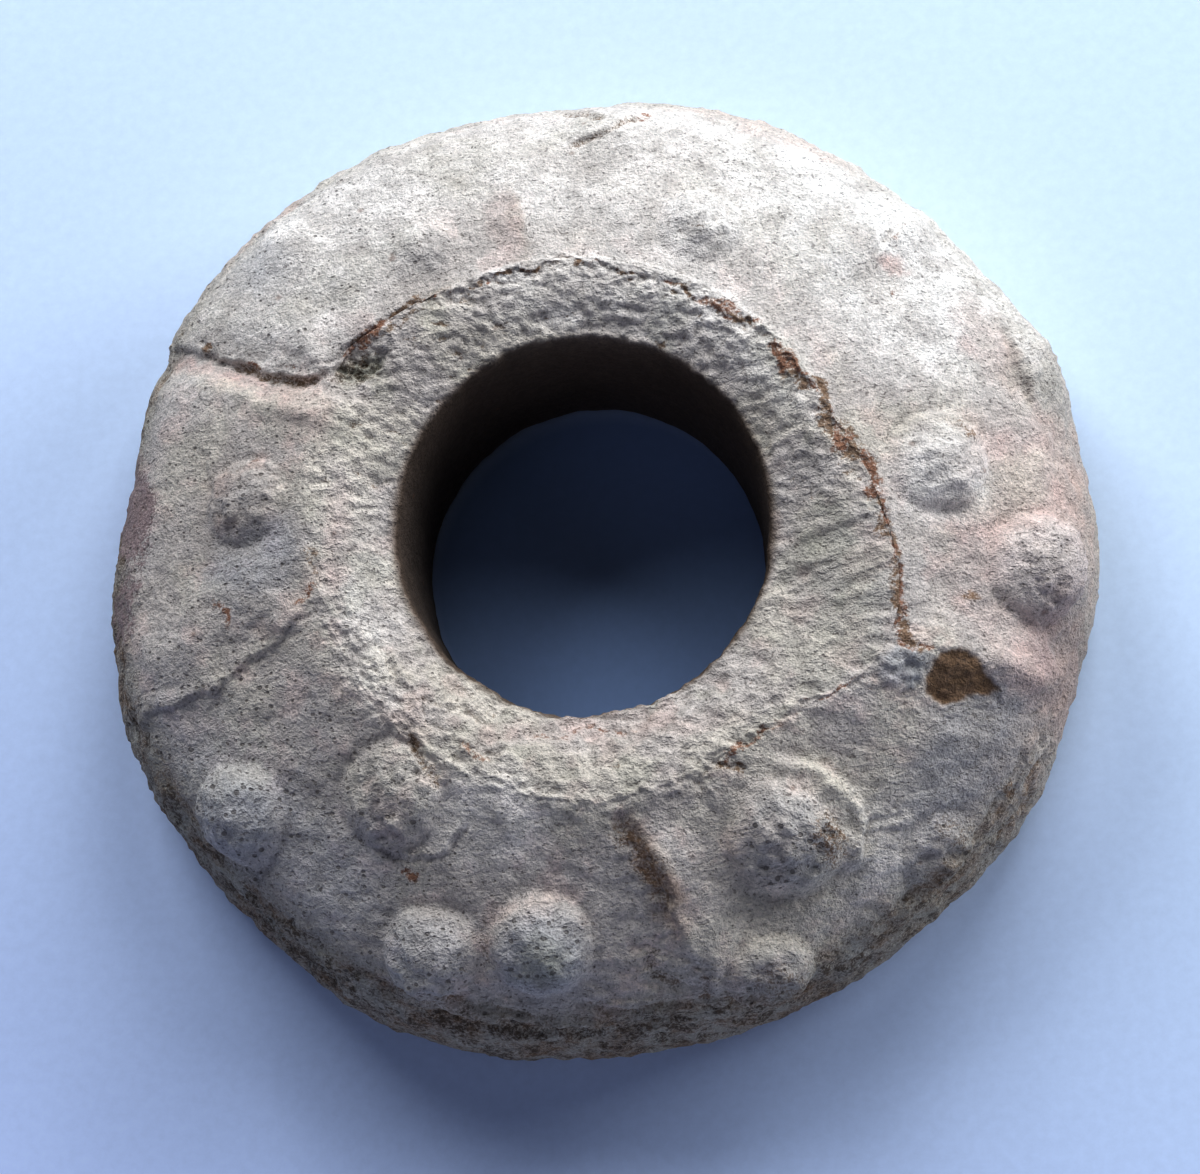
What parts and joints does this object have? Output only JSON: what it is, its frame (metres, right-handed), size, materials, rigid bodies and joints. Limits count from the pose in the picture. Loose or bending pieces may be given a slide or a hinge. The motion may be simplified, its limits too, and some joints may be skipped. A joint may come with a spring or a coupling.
{
  "type": "spindle whorl",
  "caption": "Low domed ring of fired clay with a wide bore, ribs and round pellets over its dome, made to weight a hand spindle.",
  "frame": {"origin": "the middle of the outline on the flat underside", "axes": "+Z along the bore, from the flat underside to the domed face; +X to the right and +Y up as the picture shows the domed face"},
  "size_m": [0.0292, 0.0286, 0.0074],
  "materials": {
    "fired_clay": "dry, pitted buff-grey clay with brown soil in its creases"
  },
  "bodies": {
    "root": {"whorl": "fired_clay"}
  },
  "joints": []
}
